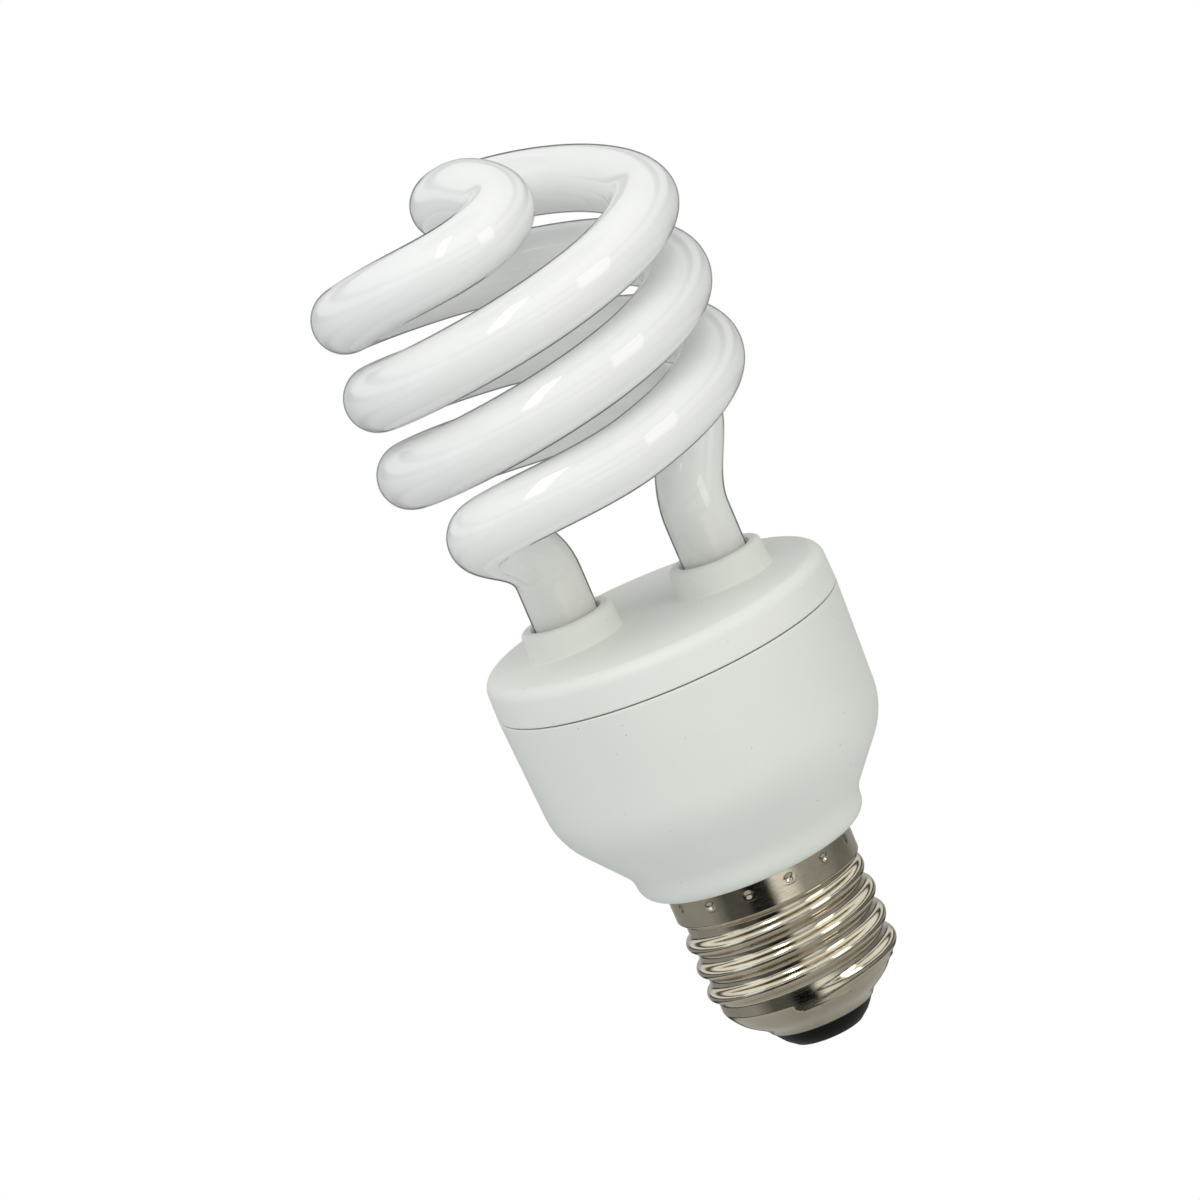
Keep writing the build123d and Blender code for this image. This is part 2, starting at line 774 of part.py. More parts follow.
def contact_lead():
    """The wire from the centre contact up through the cap to the board."""
    bulk_foot = board_z - bulk_h
    rise_z = spigot_low_z + (bulk_foot - spigot_low_z) / 2
    top_z = board_top_z + lead_stub
    wire = rod(
        [
            (0, 0, contact_t),
            (0, 0, rise_z),
            (contact_wire_x, 0, bulk_foot - lead_stub),
            (contact_wire_x, 0, top_z),
        ],
        supply_wire_r,
        2 * supply_wire_r,
    )
    return wire


def shell_lead():
    """The wire from the board down past the spigot and out to the shell's wall."""
    reach = thread_root_r - sheet
    away = math.hypot(shell_wire_x, shell_wire_y)
    out = (shell_wire_x * reach / away, shell_wire_y * reach / away)
    top_z = board_top_z + lead_stub
    board_end = (shell_wire_x, shell_wire_y, top_z)
    points = [board_end, (shell_wire_x, shell_wire_y, shell_wire_z), (*out, shell_wire_z)]
    wire = rod(points, supply_wire_r, 2 * supply_wire_r)
    return wire & ring(reach, 0, 0, top_z)


def circuit_board():
    """The round board, drilled for every lead, post and wire."""
    board = ring(board_r, 0, board_z, board_top_z)
    for place in lead_places:
        board -= Pos(*place, 0) * ring(lead_r + lead_gap, 0, board_z, board_top_z)
    for place in pin_places:
        board -= block(place, (pin_side, pin_side, board_t), board_top_z)
    for place in [(contact_wire_x, 0), (shell_wire_x, shell_wire_y)]:
        board -= Pos(*place, 0) * ring(supply_wire_r, 0, board_z, board_top_z)
    return board


build = {
    "discharge_tube": discharge_tube,
    "tube_cement": tube_cement,
    "top_cover": top_cover,
    "lower_housing": lower_housing,
    "screw_shell": screw_shell,
    "cap_insulator": cap_insulator,
    "centre_contact": centre_contact,
    "bulk_capacitor": bulk_capacitor,
    "choke_core": choke_core,
    "choke_bobbin": choke_bobbin,
    "choke_winding": choke_winding,
    "toroid_core": toroid_core,
    "toroid_windings": toroid_windings,
    "switching_transistors": switching_transistors,
    "rectifier_diodes": rectifier_diodes,
    "trigger_diac": trigger_diac,
    "base_resistors": base_resistors,
    "fusible_resistor": fusible_resistor,
    "filter_choke": filter_choke,
    "start_capacitor": start_capacitor,
    "blocking_capacitor": blocking_capacitor,
    "snubber_capacitor": snubber_capacitor,
    "wire_wrap_pins": wire_wrap_pins,
    "electrode_leads": electrode_leads,
    "shell_lead": shell_lead,
    "contact_lead": contact_lead,
    "circuit_board": circuit_board,
}

os.makedirs("parts", exist_ok=True)
for name, make in build.items():
    export_step(make(), f"parts/{name}.step")
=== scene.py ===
import json
import math

import bpy
import numpy as np
from mathutils import Matrix, Vector


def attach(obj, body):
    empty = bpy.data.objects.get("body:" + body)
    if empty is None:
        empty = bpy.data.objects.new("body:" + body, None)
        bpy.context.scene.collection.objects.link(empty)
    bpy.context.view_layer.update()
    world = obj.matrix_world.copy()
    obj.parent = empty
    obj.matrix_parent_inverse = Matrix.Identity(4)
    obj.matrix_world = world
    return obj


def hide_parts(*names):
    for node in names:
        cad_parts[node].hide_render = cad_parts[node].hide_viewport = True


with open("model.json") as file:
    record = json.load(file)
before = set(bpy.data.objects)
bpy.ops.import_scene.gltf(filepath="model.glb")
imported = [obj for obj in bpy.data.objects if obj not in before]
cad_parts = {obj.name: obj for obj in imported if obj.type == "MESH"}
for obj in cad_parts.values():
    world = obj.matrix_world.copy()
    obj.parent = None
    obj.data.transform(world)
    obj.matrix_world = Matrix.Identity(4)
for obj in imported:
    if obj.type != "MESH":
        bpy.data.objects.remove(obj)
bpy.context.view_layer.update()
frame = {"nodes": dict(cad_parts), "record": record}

# Looks of the spiral lamp. Shapes are worked out in millimetres, in the part's own frame, and set in metres.
MM = 0.001
TURN = 2 * math.pi
WHITE = (1.0, 1.0, 1.0)

# Camera: the lamp stands upright in its frame, and the camera is rolled to give the photograph's tilt.
CAMERA_DISTANCE, CAMERA_HEIGHT = 1200.0, 328.05
CAMERA_PITCH, CAMERA_YAW, CAMERA_ROLL = 0.2152, -0.0046, -0.4059
LENS, SENSOR = 281.59, 36.0
CLIP_START, CLIP_END = 0.05, 50.0

# The tube's centreline, from the same values as the solid. Bends and crown are (degrees, radius, height).
LEG_X, FOOT_Z, LEG_TOP_Z = 10.55, 55.5, 71.2
COIL_R, COIL_PITCH, COIL_Z, COIL_SHIFT = 21.1, 22.23, 79.86, -0.66
COIL_START, COIL_END = 110.0, 530.0
BEND = [(26.5, 16.0, 79.35), (47.7, 22.35, 83.55)]
CROWN = [(581.7, 18.35, 116.5), (622.8, 16.45, 118.65), (651.5, 9.1, 120.5)]
CROWN_Z, CROWN_DEG = 122.4, 118.0
LEG_POINTS, BEND_POINTS, COIL_POINTS, CROWN_POINTS = 24, 64, 190, 48

# The tube itself: clear glass outside and the phosphor coating just inside it.
TUBE_R, GLASS_T = 4.5, 0.2
TUBE_STEP, TUBE_SIDES = 0.9, 56
GLASS_END_R, PHOSPHOR_END_R = 1.6, 1.4
END_RINGS = 8

# The ballast housing: outlines are (radius, height) corners, each inner corner with its rounding.
SEAM_Z, SEAM_R = 56.3, 24.05
SEAM_BELOW, SEAM_ABOVE = 0.1, 0.08
HOUSING_EDGE_Z = SEAM_Z - SEAM_BELOW
HOUSING_OUTER = [
    (12.6, 25.9),
    (15.85, 25.9),
    (16.1, 29.6),
    (23.3, 38.4),
    (SEAM_R, HOUSING_EDGE_Z),
    (23.6, HOUSING_EDGE_Z),
]
HOUSING_OUTER_ROUND = [2.4, 3.8, 10.5, 0.18]
HOUSING_INNER = [(22.5, HOUSING_EDGE_Z), (21.9, 38.9), (14.6, 30.1), (14.35, 27.4), (12.6, 27.4)]
HOUSING_INNER_ROUND = [8.5, 4.5, 0.9]
BODY_SIDES, BODY_STEP = 192, 1.2
OUTER_STEPS, INNER_STEPS, LID_STEPS, COLLAR_STEPS = 10, 5, 12, 10

# The cover: a lid with a slightly domed top, a rounded edge and a rim that reaches into the housing.
DOME_Z, EDGE_Z, EDGE_R = 62.0, 61.6, 23.9
COVER_FOOT_Z = SEAM_Z + SEAM_ABOVE
COVER_CHAMFER, COVER_DRAFT = 0.25, 0.02
COVER_ROUND = [0.2, 1.8]
DOME_START_R = 20.0
DOME_RADII = (18.0, 1.5, 12)
UNDER_Z, UNDER_MIDDLE_R, RIM_INNER_R, RIM_OUTER_R, RIM_DROP = 60.1, 16.0, 20.9, 22.2, 1.0

# The collars around the legs.
COLLAR_BORE, COLLAR_R, COLLAR_TOP_Z = 4.9, 6.4, 65.6
COLLAR_LOW_Z, COLLAR_MOUTH_Z = 60.4, 60.6
COLLAR_DRAFT, COLLAR_DRAFT_Z = 0.18, 62.4
COLLAR_ROUND = [0.3, 0.7]
COLLAR_FOOT_R, COLLAR_BLEND, COLLAR_SINK = COLLAR_R + 0.19, 0.3, 0.015
COLLAR_SIDES, COLLAR_STEP, BLEND_RINGS = 96, 0.5, 8
DOME_LIMIT_R = 23.0

# The screw shell: an E27 thread with round crests and roots, a staked skirt above it and a nose below it.
PITCH, THREAD_LOW, THREAD_TURNS, FADE = 3.629, 8.93, 2.9, 0.3
ROOT_R, CREST_R, ROUND_R = 12.1, 13.1, 0.95
CREST_REACH = 0.5
SKIRT_R, SKIRT_Z, NECK_Z = 12.95, 21.0, 25.76
SKIRT_LEAD, SKIRT_RUN = 0.1, 0.85
NOSE_Z = [2.9, 3.2, 3.6, 4.0, 4.5, 5.0, 5.5, 6.0, 6.5, 7.0, 7.5, 8.0]
NOSE_R = [7.42, 7.6, 7.92, 8.42, 9.17, 9.87, 10.47, 10.92, 11.3, 11.65, 11.95, 12.1]
THREAD_FLOOR_Z, LEAST_RISE = 6.5, 0.001
SHELL_T = 0.4
SHELL_SIDES = 288
SHELL_STEPS = (0.25, 0.11, 0.18)
FINE_ABOVE_SKIRT, NECK_MARGIN, LAST_STEP = 1.0, 0.3, 0.15
NEAR_TURNS = range(-1, 5)
SHELL_INNER = [
    (SKIRT_R - SHELL_T, NECK_Z),
    (SKIRT_R - SHELL_T, 21.6),
    (ROOT_R - SHELL_T, 20.6),
    (ROOT_R - SHELL_T, NOSE_Z[-1]),
    (9.0, 5.0),
    (6.9, 3.1),
]

# Staking dimples around the skirt, each with a low raised lip.
STAKES, STAKE_DROP = 14, 1.3
STAKE_R, STAKE_DEPTH = 0.62, 0.2
LIP_R, LIP_RISE = 0.85, 0.03

# The cap's end.
INSULATOR_SIDE = [
    (4.4, 0.12),
    (4.85, 0.2),
    (5.2, 0.5),
    (5.57, 0.8),
    (6.02, 1.2),
    (6.47, 1.75),
    (6.87, 2.3),
    (7.17, 2.75),
    (7.37, 3.05),
]
INSULATOR = [(0.0, 0.2), (3.6, 0.2)] + INSULATOR_SIDE + [(6.6, 3.6), (0.0, 3.6)]
CONTACT = [(0.0, 0.0), (2.0, 0.02), (3.2, 0.05), (3.8, 0.1), (4.0, 0.25), (3.9, 0.6), (0.0, 0.6)]
INSULATOR_SIDES, CONTACT_SIDES = 128, 96

# The cement beads between legs and collars, with an uneven upper edge of two waves.
CEMENT = [(4.52, 60.5), (4.88, 60.5), (4.88, 64.5), (4.7, 64.6), (4.52, 64.5)]
CEMENT_SIDES, CEMENT_EDGE_Z, CEMENT_SINK = 96, 64.0, 0.25
CEMENT_WAVES = [(3, 1, 0.22), (7, 2, 0.14)]

# Tinted light and dark stops of the room that shiny surfaces mirror: by height, and around the lamp.
ROOM_LEVELS = [
    (0.0, 0.3),
    (0.12, 0.34),
    (0.26, 0.42),
    (0.3, 0.03),
    (0.33, 0.03),
    (0.36, 0.4),
    (0.45, 0.3),
    (0.485, 0.03),
    (0.53, 0.03),
    (0.56, 0.7),
    (0.64, 0.75),
    (0.67, 0.04),
    (0.71, 0.04),
    (0.74, 0.8),
    (0.93, 0.95),
    (0.97, 0.05),
]
ROOM_WALLS = [
    (0.0, 0.25),
    (0.27, 0.27),
    (0.31, 0.17),
    (0.345, 0.06),
    (0.4, 0.07),
    (0.42, 0.04),
    (0.43, 0.0),
    (0.495, 0.0),
    (0.525, 0.85),
    (0.57, 0.8),
    (0.61, 0.36),
    (0.7, 0.3),
    (0.77, 0.17),
    (0.84, 0.17),
    (0.9, 0.3),
    (1.0, 0.25),
]
WALL_BAND = [(0.345, 0), (0.355, 1), (0.465, 1), (0.475, 0)]
BEHIND_GREY, BEHIND_FROM, BEHIND_TO = 0.42, 0.88, 0.97

# Studio: the lamps are (name, place, size, power, colour), in metres and watts.
LIT_MIDDLE = (0.0, 0.0, 0.075)
SOFTBOXES = [
    ("key_softbox", (-0.16, -0.36, 0.62), (0.12, 0.46), 1.25, (1.0, 0.99, 0.96)),
    ("fill_softbox", (0.62, -0.55, 0.3), (0.35, 0.5), 1.3, (1.0, 0.975, 0.87)),
    ("left_softbox", (-0.75, -0.3, 0.2), (0.4, 0.6), 0.3, (0.9, 0.96, 1.0)),
]
AMBIENT, AMBIENT_COLOUR = 0.64, (0.97, 0.985, 1.0, 1.0)
FLOOR_Z, FLOOR_REACH = -0.3, 6.0

# The share of diffuse light that the coated glass lets through to the turns behind it, and the heights
# in metres between which the darker, warmer leg colour, a painted shade under the coil, turns into the
# coil's white.
PASSED_LIGHT = 0.45
LEG_SHADE_Z, COIL_WHITE_Z = 0.064, 0.088

# The hidden ballast's colours run from a little darker to a little lighter than the record gives them.
DARKER, LIGHTER = 0.85, 1.1


def set_camera():
    pitch, yaw, roll = CAMERA_PITCH, CAMERA_YAW, CAMERA_ROLL
    ahead = Vector((math.sin(yaw) * math.cos(pitch), math.cos(yaw) * math.cos(pitch), -math.sin(pitch)))
    right = Vector((math.cos(yaw), -math.sin(yaw), 0.0))
    up = right.cross(ahead)
    rolled_right = math.cos(roll) * right + math.sin(roll) * up
    rolled_up = -math.sin(roll) * right + math.cos(roll) * up
    data = bpy.data.cameras.new("camera")
    data.lens = LENS
    data.sensor_width = SENSOR
    data.clip_start = CLIP_START
    data.clip_end = CLIP_END
    camera = bpy.data.objects.new("camera", data)
    bpy.context.scene.collection.objects.link(camera)
    turn = Matrix((rolled_right, rolled_up, -ahead)).transposed().to_4x4()
    camera.matrix_world = Matrix.Translation((0.0, -CAMERA_DISTANCE * MM, CAMERA_HEIGHT * MM)) @ turn
    bpy.context.scene.camera = camera


# Meshes


def piece(name, verts, faces, nodes, material):
    """A mesh object that stands for CAD nodes and rides on the part."""
    mesh = bpy.data.meshes.new(name)
    mesh.from_pydata([tuple(c * MM for c in v) for v in verts], [], faces)
    mesh.validate()
    mesh.update()
    mesh.shade_smooth()
    obj = bpy.data.objects.new(name, mesh)
    bpy.context.scene.collection.objects.link(obj)
    obj.data.materials.append(material)
    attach(obj, "root")
    if nodes:
        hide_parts(*nodes)


def smooth_step(x):
    x = min(max(x, 0.0), 1.0)
    return x * x * (3.0 - 2.0 * x)


def fillet_profile(points, radii, steps):
    """Points along a run of (r, z) corners, each inner corner rounded by its radius."""
    out = [points[0]]
    for i in range(1, len(points) - 1):
        a, b, c = (np.array(p, float) for p in points[i - 1 : i + 2])
        radius = radii[i - 1]
        u = (a - b) / np.linalg.norm(a - b)
        w = (c - b) / np.linalg.norm(c - b)
        angle = math.acos(max(-1.0, min(1.0, float(u @ w))))
        reach = radius / math.tan(angle / 2)
        bisector = (u + w) / np.linalg.norm(u + w)
        centre = b + bisector * radius / math.sin(angle / 2)
        start, end = b + u * reach, b + w * reach
        s, e = start - centre, end - centre
        sweep = math.pi - angle
        count = max(3, int(steps * sweep / (math.pi / 2)) + 2)
        for k in range(count + 1):
            t = k / count
            v = s * math.sin((1 - t) * sweep) / math.sin(sweep) + e * math.sin(t * sweep) / math.sin(sweep)
            out.append(tuple(centre + v))
    out.append(points[-1])
    return out


def spread(points, step):
    """The same run with long straight stretches divided, so that shading stays even."""
    out = [points[0]]
    for a, b in zip(points, points[1:]):
        n = max(1, int(math.dist(a, b) / step))
        for k in range(1, n + 1):
            t = k / n
            out.append((a[0] + (b[0] - a[0]) * t, a[1] + (b[1] - a[1]) * t))
    return out


def add_row(verts, rows, points):
    """One more row of points on a mesh that is built row by row."""
    rows.append(list(range(len(verts), len(verts) + len(points))))
    verts += points


def circle(sides):
    """The angles of evenly spaced points around a circle."""
    return [TURN * k / sides for k in range(sides)]


def round_row(x, r, z, sides):
    """Points around a level circle whose centre stands at x."""
    return [(x + r * math.cos(a), r * math.sin(a), z) for a in circle(sides)]


def joined(pairs):
    """Faces between pairs of rows. A row of one point closes the mesh there like a lid."""
    faces = []
    for low, high in pairs:
        sides = max(len(low), len(high))
        for k in range(sides):
            j = (k + 1) % sides
            if len(low) == 1:
                faces.append((low[0], high[j], high[k]))
            elif len(high) == 1:
                faces.append((low[k], low[j], high[0]))
            else:
                faces.append((low[k], low[j], high[j], high[k]))
    return faces


def around(rows):
    """Each row paired with the next one, and the last with the first."""
    return list(zip(rows, rows[1:])) + [(rows[-1], rows[0])]


def revolve(profile, sides, closed=True, x=0.0):
    """A mesh turned about an upright axis from (r, z) points.

    A closed profile makes a ring, an open one starts and ends on the axis.
    """
    verts, rows = [], []
    for r, z in profile:
        add_row(verts, rows, [(x, 0.0, z)] if r == 0.0 else round_row(x, r, z, sides))
    return verts, joined(around(rows) if closed else zip(rows, rows[1:]))


def merged(meshes):
    verts, faces = [], []
    for v, f in meshes:
        base = len(verts)
        verts += v
        faces += [tuple(base + i for i in face) for face in f]
    return verts, faces


# The tube's line


def polar(deg, r, z):
    a = math.radians(deg)
    return np.array((r * math.cos(a), r * math.sin(a), z))


def coil(deg):
    return polar(deg, COIL_R, COIL_Z + COIL_PITCH * deg / 360)


def coil_heading(deg):
    v = polar(deg + 90, COIL_R, COIL_PITCH / TURN)
    return v / np.linalg.norm(v)


def drawn(points, start, end, count):
    """A clamped cubic through points, timed by the distance between them."""
    p = np.array(points, float)
    d = np.linalg.norm(np.diff(p, axis=0), axis=1)
    n = len(p)
    a, b = np.zeros((n, n)), np.zeros((n, 3))
    a[0, 0] = a[-1, -1] = 1.0
    b[0], b[-1] = start, end
    for i in range(1, n - 1):
        h0, h1 = d[i - 1], d[i]
        a[i, i - 1], a[i, i], a[i, i + 1] = h1, 2 * (h0 + h1), h0
        b[i] = 3 * (h0 * (p[i + 1] - p[i]) / h1 + h1 * (p[i] - p[i - 1]) / h0)
    t = np.linalg.solve(a, b)
    out = []
    ends = np.concatenate([[0.0], np.cumsum(d)])
    for x in np.linspace(0.0, d.sum(), count):
        i = int(min(max(np.searchsorted(ends, x) - 1, 0), n - 2))
        h = d[i]
        s = (x - ends[i]) / h
        out.append(
            (2 * s**3 - 3 * s**2 + 1) * p[i]
            + (s**3 - 2 * s**2 + s) * h * t[i]
            + (-2 * s**3 + 3 * s**2) * p[i + 1]
            + (s**3 - s**2) * h * t[i + 1]
        )
    return out


def arm(reach):
    """Half of the tube's line: a leg, its bend, a strand of the coil and half of the crown."""
    up = (0.0, 0.0, 1.0)
    top = np.array((reach, 0.0, LEG_TOP_Z))
    leg = [np.array((reach, 0.0, z)) for z in np.linspace(FOOT_Z, LEG_TOP_Z, LEG_POINTS)]
    rise = [top] + [polar(*k) for k in BEND] + [coil(COIL_START)]
    bend = drawn(rise, up, coil_heading(COIL_START), BEND_POINTS)
    turns = [coil(a) for a in np.linspace(COIL_START, COIL_END, COIL_POINTS)]
    fold = [coil(COIL_END)] + [polar(*k) for k in CROWN] + [np.array((0.0, 0.0, CROWN_Z))]
    crown = drawn(fold, coil_heading(COIL_END), polar(CROWN_DEG, 1.0, 0.0), CROWN_POINTS)
    return leg + bend[1:] + turns[1:] + crown[1:]


def centreline():
    right = arm(LEG_X - COIL_SHIFT)
    left = [np.array((-p[0], -p[1], p[2])) for p in arm(LEG_X + COIL_SHIFT)]
    path = right + left[::-1][1:]
    return np.array([(p[0] + COIL_SHIFT, p[1], p[2]) for p in path])


def even(path, step):
    """The same line with points at an even distance."""
    d = np.concatenate([[0.0], np.cumsum(np.linalg.norm(np.diff(path, axis=0), axis=1))])
    s = np.linspace(0.0, d[-1], int(d[-1] / step) + 1)
    return np.stack([np.interp(s, d, path[:, k]) for k in range(3)], axis=1)


def tube(path, radius, sides, round_r):
    """A tube along a path, with closed ends that are rounded by round_r."""
    tangent = np.gradient(path, axis=0)
    tangent /= np.linalg.norm(tangent, axis=1)[:, None]
    normal = np.array((0.0, 1.0, 0.0))
    stations = []
    for p, t in zip(path, tangent):
        normal = normal - t * (normal @ t)
        normal /= np.linalg.norm(normal)
        stations.append((p, t, normal.copy()))
    verts, rows = [], []

    def ring(p, t, n, r):
        b = np.cross(t, n)
        add_row(verts, rows, [tuple(p + r * (math.cos(a) * n + math.sin(a) * b)) for a in circle(sides)])

    def rounded_end(station, inward):
        p, t, n = station
        for a in np.linspace(0, math.pi / 2, END_RINGS)[:-1][::inward]:
            inset = round_r * (1 - math.cos(a))
            yield p + inward * t * inset, t, n, radius - round_r + round_r * math.sin(a)

    first, last = stations[0], stations[-1]
    for spot in rounded_end(first, 1):
        ring(*spot)
    for p, t, n in stations:
        if np.linalg.norm(p - first[0]) >= round_r and np.linalg.norm(p - last[0]) >= round_r:
            ring(p, t, n, radius)
    for spot in rounded_end(last, -1):
        ring(*spot)
    faces = joined(zip(rows, rows[1:]))
    start, end = len(verts), len(verts) + 1
    verts += [tuple(first[0]), tuple(last[0])]
    for k in range(sides):
        j = (k + 1) % sides
        faces.append((start, rows[0][j], rows[0][k]))
        faces.append((end, rows[-1][k], rows[-1][j]))
    return verts, faces


# Materials


def material(name):
    mat = bpy.data.materials.new(name)
    mat.use_nodes = True
    tree = mat.node_tree
    tree.nodes.clear()
    return mat, tree, tree.nodes.new("ShaderNodeOutputMaterial")


def node(tree, kind, **values):
    """A new node. Each value goes to the input of that name, or else to the node's own setting."""
    made = tree.nodes.new(kind)
    for key, value in values.items():
        key = key.replace("_", " ") if key.replace("_", " ") in made.inputs else key
        if key in made.inputs:
            made.inputs[key].default_value = value
        else:
            setattr(made, key, value)
    return made


def noise_of(tree, scale, detail=3.0, roughness=0.5, stretch=(1, 1, 1)):
    """Noise over the object's own coordinates, at a scale in cycles per metre."""
    coord = node(tree, "ShaderNodeTexCoord")
    mapping = node(tree, "ShaderNodeMapping", Scale=stretch)
    tree.links.new(coord.outputs["Object"], mapping.inputs["Vector"])
    noise = node(tree, "ShaderNodeTexNoise", Scale=scale, Detail=detail, Roughness=roughness)
    tree.links.new(mapping.outputs["Vector"], noise.inputs["Vector"])
    return noise.outputs["Fac"]


def ramp(tree, source, stops):
    """A colour for each value of source, from (place, colour) stops."""
    made = node(tree, "ShaderNodeValToRGB")
    elements = made.color_ramp.elements
    while len(elements) < len(stops):
        elements.new(0.5)
    for element, (place, colour) in zip(elements, stops):
        element.position = place
        element.color = (*colour, 1.0)
    tree.links.new(source, made.inputs["Fac"])
    return made.outputs["Color"]


def remapped(tree, source, **limits):
    """The source, taken from From_Min to From_Max and spread over To_Min to To_Max.

    A limit that isn't given stays at 0 or 1.
    """
    made = node(tree, "ShaderNodeMapRange", **limits)
    tree.links.new(source, made.inputs["Value"])
    return made.outputs["Result"]


def mixed_colour(tree, factor, first, second):
    """A blend of two colours, each a socket or four numbers."""
    made = node(tree, "ShaderNodeMix", data_type="RGBA")
    tree.links.new(factor, made.inputs["Factor"])
    for key, colour in (("A", first), ("B", second)):
        if isinstance(colour, tuple):
            made.inputs[key].default_value = colour
        else:
            tree.links.new(colour, made.inputs[key])
    return made.outputs["Result"]


def mixed_shader(tree, factor, first, second):
    made = node(tree, "ShaderNodeMixShader")
    tree.links.new(factor, made.inputs["Fac"])
    tree.links.new(first, made.inputs[1])
    tree.links.new(second, made.inputs[2])
    return made.outputs["Shader"]


def computed(tree, operation, first, second, use_clamp=False):
    """The result of an operation on two values, the second a socket or a number."""
    made = node(tree, "ShaderNodeMath", operation=operation, use_clamp=use_clamp)
    tree.links.new(first, made.inputs[0])
    if isinstance(second, float):
        made.inputs[1].default_value = second
    else:
        tree.links.new(second, made.inputs[1])
    return made.outputs["Value"]


def bump(tree, source, strength, distance, under=None):
    made = node(tree, "ShaderNodeBump", Strength=strength, Distance=distance)
    tree.links.new(source, made.inputs["Height"])
    if under is not None:
        tree.links.new(under, made.inputs["Normal"])
    return made.outputs["Normal"]


def surface(tree, out, **values):
    made = node(tree, "ShaderNodeBsdfPrincipled", **values)
    tree.links.new(made.outputs["BSDF"], out.inputs["Surface"])
    return made


def varied(name, low, high, rough, scale, metal=0.0, grain=0.0, grain_scale=4000.0, **values):
    """A plain material with uneven colour and roughness, and a fine grain if asked."""
    mat, tree, out = material(name)
    made = surface(tree, out, Metallic=metal, **values)
    spots = noise_of(tree, scale)
    tree.links.new(ramp(tree, spots, [(0.3, low), (0.7, high)]), made.inputs["Base Color"])
    roughness = remapped(tree, spots, To_Min=rough[0], To_Max=rough[1])
    tree.links.new(roughness, made.inputs["Roughness"])
    if grain:
        fine = noise_of(tree, grain_scale, detail=2.0)
        tree.links.new(bump(tree, fine, grain, distance=0.00002), made.inputs["Normal"])
    return mat


def plastic(name, low, high):
    """Moulded white plastic: a satin skin, faint cloudiness, a fine grain and a few tiny specks."""
    mat, tree, out = material(name)
    made = surface(tree, out, Specular_IOR_Level=0.35, Subsurface_Weight=0.0)
    clouds = noise_of(tree, 60.0, detail=4.0)
    base = ramp(tree, clouds, [(0.25, low), (0.75, high)])
    specks = noise_of(tree, 1700.0, detail=1.0)
    black = (0.0, 0.0, 0.0)
    dots = ramp(tree, specks, [(0.0, black), (0.79, black), (0.82, WHITE)])
    speck_colour = (0.5, 0.49, 0.46, 1.0)
    tree.links.new(mixed_colour(tree, dots, base, speck_colour), made.inputs["Base Color"])
    tree.links.new(remapped(tree, clouds, To_Min=0.42, To_Max=0.52), made.inputs["Roughness"])
    grain = noise_of(tree, 5200.0, detail=3.0)
    tree.links.new(bump(tree, grain, 0.12, distance=0.00002), made.inputs["Normal"])
    return mat


def phosphor():
    """The white coating: chalky, slightly uneven and translucent, with painted shade making the legs darker
    and warmer.
    """
    mat, tree, out = material("phosphor_white")
    made = surface(tree, out, Specular_IOR_Level=0.1, Subsurface_Weight=0.8, Subsurface_Scale=0.008)
    made.inputs["Subsurface Radius"].default_value = WHITE
    clouds = noise_of(tree, 45.0, detail=3.0)
    white = ramp(tree, clouds, [(0.3, (0.885, 0.895, 0.87)), (0.7, (0.925, 0.935, 0.915))])
    coord = node(tree, "ShaderNodeTexCoord")
    split = node(tree, "ShaderNodeSeparateXYZ")
    tree.links.new(coord.outputs["Object"], split.inputs["Vector"])
    above_leg_shade = remapped(tree, split.outputs["Z"], From_Min=LEG_SHADE_Z, From_Max=COIL_WHITE_Z)
    # Painted shade: the legs under the coil get a darker, warmer white than the coil.
    leg_shade_colour = (0.81, 0.815, 0.765, 1.0)
    tree.links.new(mixed_colour(tree, above_leg_shade, leg_shade_colour, white), made.inputs["Base Color"])
    tree.links.new(remapped(tree, clouds, To_Min=0.55, To_Max=0.75), made.inputs["Roughness"])
    path = node(tree, "ShaderNodeLightPath")
    share = computed(tree, "MULTIPLY", path.outputs["Is Diffuse Ray"], PASSED_LIGHT)
    through = node(tree, "ShaderNodeBsdfTransparent")
    shader = mixed_shader(tree, share, made.outputs["BSDF"], through.outputs["BSDF"])
    tree.links.new(shader, out.inputs["Surface"])
    return mat


def clear_glass():
    """The tube's clear wall: it reflects as glass does, and its edge shows a little grey."""
    mat, tree, out = material("clear_glass")
    gloss = node(tree, "ShaderNodeBsdfGlossy", Roughness=0.07)
    gloss.inputs["Color"].default_value = (*WHITE, 1.0)
    clear = node(tree, "ShaderNodeBsdfTransparent")
    edge = node(tree, "ShaderNodeLayerWeight", Blend=0.5)
    stops = [
        (0.0, (0.998, 0.999, 0.999)),
        (0.85, (0.985, 0.99, 0.99)),
        (0.97, (0.91, 0.92, 0.925)),
        (1.0, (0.8, 0.815, 0.83)),
    ]
    tint = ramp(tree, edge.outputs["Facing"], stops)
    path = node(tree, "ShaderNodeLightPath")
    lit = computed(tree, "MAXIMUM", path.outputs["Is Shadow Ray"], path.outputs["Is Diffuse Ray"])
    tree.links.new(mixed_colour(tree, lit, tint, (*WHITE, 1.0)), clear.inputs["Color"])
    ripple = noise_of(tree, 90.0, detail=2.0)
    tree.links.new(bump(tree, ripple, 0.05, distance=0.0002), gloss.inputs["Normal"])
    fresnel = node(tree, "ShaderNodeFresnel", IOR=1.5)
    shine = computed(tree, "SUBTRACT", fresnel.outputs["Fac"], lit, use_clamp=True)
    shader = mixed_shader(tree, shine, clear.outputs["BSDF"], gloss.outputs["BSDF"])
    tree.links.new(shader, out.inputs["Surface"])
    return mat


